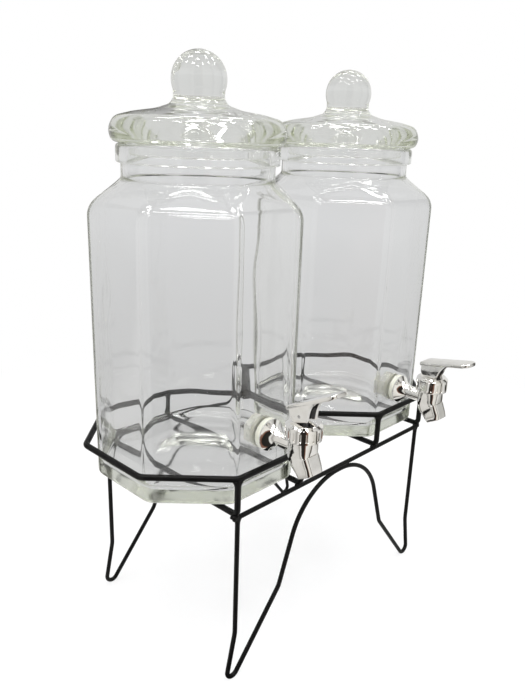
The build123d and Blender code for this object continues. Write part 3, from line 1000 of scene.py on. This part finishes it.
def make_bonnet(side):
    """The ribbed cap on the barrel."""
    angles = even_angles(rib_count * rib_steps)
    top = bonnet_foot + bonnet_height

    def ribbed(height, share):
        """A ring with a share of the grooves' depth."""
        ring = []
        for k, angle in enumerate(angles):
            place = (k % rib_steps) / rib_steps
            groove = max(0, 1 - (abs(place - 0.5) / groove_share) ** groove_power)
            reach = bonnet_radius - rib_depth * share * groove
            ring.append(Vector((reach * cos(angle), reach * sin(angle), height)))
        return ring

    low_rim, high_rim = bonnet_foot + bonnet_rim, top - bonnet_slope - bonnet_rim
    shoulder = rounded(
        [
            (bonnet_radius, high_rim + bonnet_lip),
            (bonnet_radius, top - bonnet_slope),
            (bonnet_radius - bonnet_slope, top),
            (stem_bore, top),
        ],
        bonnet_rounds,
        steps=4,
    )
    foot = rounded(
        [
            (bonnet_bore, bonnet_foot + bonnet_edge),
            (bonnet_bore, bonnet_foot),
            (bonnet_radius, bonnet_foot),
            (bonnet_radius, low_rim),
        ],
        [bonnet_bore_round, bonnet_edge],
        steps=4,
    )
    roof = [(stem_bore, top - bonnet_roof), (bonnet_bore, top - bonnet_roof)]
    rings = [circle(radius, height, angles) for radius, height in foot[:-1]]
    rings += [ribbed(low_rim, 0), ribbed(low_rim + rib_run, 1)]
    rings += [ribbed(high_rim - rib_run, 1), ribbed(high_rim, 0)]
    rings += [circle(radius, height, angles) for radius, height in shoulder + roof]
    place = Matrix.Translation(tap_origin(side))
    bonnet = skin(f"tap_cap_{side}", rings, place, closed=True, sharp=bonnet_sharp)
    dress(bonnet, "chrome", f"jar_{side}", f"tap_bonnet_{side}")


def make_lever(side):
    """The lever: a paddle on two cheeks, whose rear edges are the cam."""
    joint = next(j for j in frame["joints"] if j["name"] == f"lever_tilt_{side}")
    raised = radians(-joint["range_deg"][0])
    pin_low, pin_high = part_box(f"lever_pin_{side}")
    pin = (pin_low + pin_high) / 2
    forward = Vector((0, -cos(raised), sin(raised)))
    up = Vector((0, sin(raised), cos(raised)))
    sideways = forward.cross(up)
    flat = Matrix((forward, up, sideways)).transposed().to_4x4()
    place = Matrix.Translation(pin) @ flat

    slope = tan(paddle_slope)
    sink = paddle_thickness / 4
    cheek_top = cheek_front + cheek_throw

    def under(ahead):
        """The height of the paddle's underside."""
        return paddle_height + slope * ahead

    cam = []
    for step in range(cam_steps + 1):
        turn = cam_span * step / cam_steps
        reach = cam_low + cam_rate * turn
        cam.append((-reach * sin(turn) - cam_rate * cos(turn), -reach * cos(turn) + cam_rate * sin(turn)))
    front_middle = (cheek_front + cheek_throw * cheek_hollow_share, (under(cheek_top) - cam_low) / 2)
    front = arc((cheek_front, -cam_low), front_middle, (cheek_top, under(cheek_top)), steps=10)
    outline = [(p.x, p.y) for p in front]
    outline.append((cheek_top, under(cheek_top) + sink))
    outline.append((cheek_inset - paddle_back, under(-paddle_back) + sink))
    outline += reversed(cam)
    tilt = Matrix.Rotation(paddle_slope, 4, "Z")
    lift = Matrix.Translation((0, paddle_height, 0))
    paddle_axes = Matrix(((0, 1, 0, 0), (0, 0, 1, 0), (1, 0, 0, 0), (0, 0, 0, 1)))
    plan = rounded(
        [
            (0, -paddle_back),
            (paddle_half, -paddle_back),
            (paddle_half, paddle_front),
            (-paddle_half, paddle_front),
            (-paddle_half, -paddle_back),
            (0, -paddle_back),
        ],
        [paddle_back_corner, paddle_corner, paddle_corner, paddle_back_corner],
        steps=8,
    )[:-1]
    on_cheeks = place @ lift @ tilt @ paddle_axes
    lever = prism(f"tap_handle_{side}", plan, 0, paddle_thickness, paddle_edge, 3, on_cheeks)
    cheeks = [
        prism("cheek", outline, low, low + cheek_width, cheek_edge, 2, place)
        for low in (cheek_gap, -cheek_gap - cheek_width)
    ]
    combine(lever, cheeks, "UNION")
    drill = make_drill(pin_hole, cheek_gap + 2 * cheek_width, pin_segments, place)
    combine(lever, [drill], "DIFFERENCE")
    dress(lever, "chrome", f"lever_{side}", f"tap_lever_{side}")


def make_washers(side):
    """The two soft washers that seal the tap's hole, outside and inside."""
    hole = shank_radius + hole_gap
    for name in ("outer", "inner"):
        node = f"{name}_washer_{side}"
        low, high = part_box(node)
        radius = (high.x - low.x) / 2
        start, end = shank_span(side, node)
        middle = (start + end) / 2
        profile = rounded(
            [(hole, middle), (hole, start), (radius, start), (radius, end), (hole, end), (hole, middle)],
            [washer_bore_round, washer_round, washer_round, washer_bore_round],
            steps=5,
        )
        rings = turned(profile[:-1], washer_segments)
        washer = skin(f"soft_washer_{name}_{side}", rings, along_shank(side), closed=True)
        dress(washer, "silicone", f"jar_{side}", node)


def make_nut(side):
    """The nut that holds the tap from inside the jar."""
    hole = shank_radius + hole_gap
    start, end = shank_span(side, f"shank_nut_{side}")
    angles = ring_angles(nut_sides, nut_half, nut_round, flat_steps=6, corner_steps=6)

    def hexagon(half, height, corner):
        """A level ring of the nut's six-sided form."""
        return polygon_ring(angles, nut_sides, half, corner, height)

    rings = [
        circle(hole, end, angles),
        hexagon(nut_half - nut_edge, end, nut_round),
        hexagon(nut_half, end - nut_edge, nut_round),
        hexagon(nut_half, start + nut_shoulder, nut_round),
        hexagon(nut_half - nut_bevel_inset, start + nut_bevel_height, nut_half * nut_bevel_corner_share),
        hexagon(nut_half - nut_face_inset, start, nut_half * nut_face_corner_share),
        circle(hole + nut_mouth, start, angles),
        circle(hole, start + nut_mouth, angles),
    ]
    nut = skin(f"hex_nut_{side}", rings, along_shank(side), closed=True, sharp=nut_sharp)
    dress(nut, "nut_plastic", f"jar_{side}", f"shank_nut_{side}")


def add_bead(shape, middle, reach, seed):
    """A lumpy weld bead round a point, with its reach along X, Y and Z."""
    rings = []
    for row in range(bead_rows + 1):
        rise = radians(blend_of(-90, 90, row / bead_rows))
        ring = []
        for angle in even_angles(bead_segments):
            lump = 1 + bead_lump * sin(3 * angle + seed)
            lump += bead_ripple * sin(5 * angle + 4 * rise + 2 * seed)
            level = cos(rise) * lump
            ring.append(middle + Vector((
                reach[0] * level * cos(angle), reach[1] * level * sin(angle), reach[2] * sin(rise) * lump,
            )))
        tip = [middle + Vector((0, 0, reach[2] * sin(rise)))]
        rings.append(ring if 0 < row < bead_rows else tip)
    add_skin(shape, rings)


def add_collar(shape, top, drop, foot, along, across, turn, seed):
    """A weld that flares from an upright wire out along the wire that it hangs from."""
    rings = [[top - Vector((0, 0, drop))]]
    for row in range(collar_rows + 1):
        share = row / collar_rows
        flare = share**collar_flare
        ring = []
        for angle in even_angles(collar_segments):
            lump = 1 + collar_lump * sin(4 * angle + 3 * share + seed)
            reach_along = blend_of(foot, along, flare) * lump * cos(angle)
            reach_across = blend_of(foot, across, flare) * sin(angle)
            spot = Vector((
                reach_along * cos(turn) - reach_across * sin(turn),
                reach_along * sin(turn) + reach_across * cos(turn),
                drop * (share - 1),
            ))
            ring.append(top + spot)
        rings.append(ring)
    rings.append([top + Vector((0, 0, foot / 2))])
    add_skin(shape, rings)


def make_welds():
    """The weld beads where the stand's wires meet, kept within the rings' depth."""
    shape = bmesh.new()
    bar_low, bar_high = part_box("front_bar")
    bar_radius = (bar_high.z - bar_low.z) / 2
    seed = 0
    for side in side_names:
        ring_low, ring_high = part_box(f"rail_ring_{side}")
        ring_radius = (ring_high.z - ring_low.z) / 2
        grip = ring_radius * weld_grip_share
        for place in ("outer", "inner"):
            low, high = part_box(f"cradle_wire_{side}_{place}")
            x = (low.x + high.x) / 2
            lean = weld_turn if (place == "outer") == (side == "right") else -weld_turn
            for end in (-1, 1):
                seed += 1
                y = end * (ring_high.y - ring_radius)
                top = Vector((x, y, ring_low.z + ring_radius * weld_sink_share))
                add_collar(shape, top, weld_drop, grip, weld_along, weld_across, -end * lean, seed)
                touch = Vector((x, end * weld_touch, (low.z + bar_high.z) / 2))
                add_bead(shape, touch, bar_bead, seed)
    bar_grip = bar_radius * weld_grip_share
    for name in ("front", "rear"):
        leg_low, leg_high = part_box(f"{name}_leg_wire")
        y = (leg_low.y + leg_high.y) / 2
        for sign in (-1, 1):
            seed += 1
            top = Vector((sign * leg_place, y, bar_low.z + bar_radius * weld_sink_share))
            add_collar(shape, top, leg_drop, bar_grip, leg_along, bar_radius, 0, seed)
            add_bead(shape, Vector((sign * crown_place, y, bar_low.z)), crown_bead, seed)
    for spot in ring_welds:
        seed += 1
        for height in (ring_low.z + weld_level, ring_high.z - weld_level):
            add_bead(shape, Vector((0, spot, height)), ring_bead, seed)
    for corner in shape.verts:
        corner.co.y = max(ring_low.y, min(ring_high.y, corner.co.y))
    welds = new_piece("stand_welds", shape, sharp=weld_sharp)
    dress(welds, "black_coat", "stand")


make_welds()
for side in side_names:
    make_jar(side)
    make_lid(side)
    make_casting(side)
    make_bonnet(side)
    make_seat(side)
    make_lever(side)
    make_washers(side)
    make_nut(side)

for subpart in frame["nodes"].values():
    if not subpart.hide_render:
        slot = subpart.data.materials[0].name.split(".")[0]
        subpart.data.materials[0] = materials[slot]


def by_ray(tree, plain, seen_as):
    """A shader that differs with the kind of ray that meets it. A later kind goes before an earlier one."""
    path = add_node(tree, "ShaderNodeLightPath")
    for kind, shader in seen_as.items():
        mix = add_node(tree, "ShaderNodeMixShader", {"Fac": path.outputs[kind], 1: plain, 2: shader})
        plain = mix.outputs["Shader"]
    return plain


def glow(tree, kind, tone):
    """A light of one tone, or of the tones that another node gives."""
    colour = tone if isinstance(tone, bpy.types.NodeSocket) else (*tone, 1)
    return add_node(tree, kind, {"Color": colour}).outputs[0]


def add_bands(tree, coordinates):
    """The room's tones round the object, from -X through -Y, for what polished metal reflects."""
    place = add_node(tree, "ShaderNodeTexCoord")
    around = add_node(tree, "ShaderNodeTexGradient", {"Vector": place.outputs[coordinates]})
    around.gradient_type = "RADIAL"
    return add_ramp(tree, around.outputs["Fac"], room_bands)


def add_nearness(tree, reach):
    """A value that falls from 1 at the object's middle to 0 at a distance."""
    place = add_node(tree, "ShaderNodeTexCoord")
    scale = (1 / reach,) * 3
    mapping = add_node(tree, "ShaderNodeMapping", {"Vector": place.outputs["Object"], "Scale": scale})
    near = add_node(tree, "ShaderNodeTexGradient", {"Vector": mapping.outputs["Vector"]})
    near.gradient_type = "SPHERICAL"
    return near.outputs["Fac"]


def make_floor():
    """A pale floor, white to the camera but for a faint shadow near the feet."""
    corners = [(x * floor_half, y * floor_half, 0) for x, y in ((-1, -1), (1, -1), (1, 1), (-1, 1))]
    mesh = bpy.data.meshes.new("floor")
    mesh.from_pydata(corners, [], [range(4)])
    floor = add_object("floor", mesh)
    material, tree, matt = new_material("floor", floor_matt, floor_roughness)
    matt.inputs["Specular IOR Level"].default_value = 0.0
    floor.data.materials.append(material)
    depth = add_node(tree, "ShaderNodeMath", {0: add_nearness(tree, shadow_reach), 1: shadow_share})
    depth.operation = "MULTIPLY"
    bright = glow(tree, "ShaderNodeEmission", white)
    shades = {"Fac": depth.outputs["Value"], 1: bright, 2: matt.outputs["BSDF"]}
    shaded = add_node(tree, "ShaderNodeMixShader", shades)
    through_glass = add_ramp(tree, add_nearness(tree, floor_reach), floor_tones)
    surface = by_ray(tree, matt.outputs["BSDF"], {
        "Is Glossy Ray": glow(tree, "ShaderNodeEmission", add_bands(tree, "Object")),
        "Is Transmission Ray": glow(tree, "ShaderNodeEmission", through_glass),
        "Diffuse Depth": matt.outputs["BSDF"],
        "Is Camera Ray": shaded.outputs["Shader"],
    })
    tree.links.new(surface, tree.nodes["Material Output"].inputs["Surface"])


def toward_camera_tones(tree, tones):
    """Tones that run from behind the camera, at 0, to behind the object, at 1."""
    place = add_node(tree, "ShaderNodeTexCoord")
    ahead = camera_right.cross(camera_down)
    toward = add_node(tree, "ShaderNodeVectorMath", {0: place.outputs["Generated"], 1: ahead})
    toward.operation = "DOT_PRODUCT"
    return add_ramp(tree, add_span(tree, toward.outputs["Value"], -1.0, 1.0, 0.0, 1.0), tones)


def make_world():
    """White behind the object, and a soft grey room round it for light, gloss and glass."""
    world = bpy.data.worlds.new("studio")
    bpy.context.scene.world = world
    world.use_nodes = True
    tree = world.node_tree
    kind = "ShaderNodeBackground"
    plain = glow(tree, kind, room_tone)
    surface = by_ray(tree, plain, {
        "Is Glossy Ray": glow(tree, kind, add_bands(tree, "Generated")),
        "Is Transmission Ray": glow(tree, kind, toward_camera_tones(tree, depth_tones)),
        "Diffuse Depth": plain,
        "Is Camera Ray": glow(tree, kind, white),
    })
    tree.links.new(surface, tree.nodes["World Output"].inputs["Surface"])


def make_lights():
    """Ceiling panels in rows."""
    for row, y in enumerate(panel_rows):
        for column, x in enumerate(panel_columns):
            light = bpy.data.lights.new(f"panel_{row}_{column}", "AREA")
            light.shape = "RECTANGLE"
            light.size = panel_width
            light.size_y = panel_length
            light.energy = panel_power
            add_object(light.name, light).location = (x, y, panel_height)


def make_camera():
    """A camera where the photograph was taken from."""
    lens = bpy.data.cameras.new("camera")
    lens.sensor_fit = "VERTICAL"
    lens.sensor_height = camera_sensor
    lens.lens = camera_lens
    camera = add_object("camera", lens)
    back = camera_down.cross(camera_right)
    turn = Matrix((camera_right, -camera_down, back)).transposed()
    camera.matrix_world = Matrix.Translation(camera_place) @ turn.to_4x4()
    bpy.context.scene.camera = camera


make_floor()
make_world()
make_lights()
make_camera()
bpy.context.scene.view_settings.view_transform = "Standard"
bpy.context.scene.cycles.max_bounces = light_bounces
bpy.context.scene.cycles.transmission_bounces = light_bounces
bpy.context.scene.cycles.glossy_bounces = light_bounces
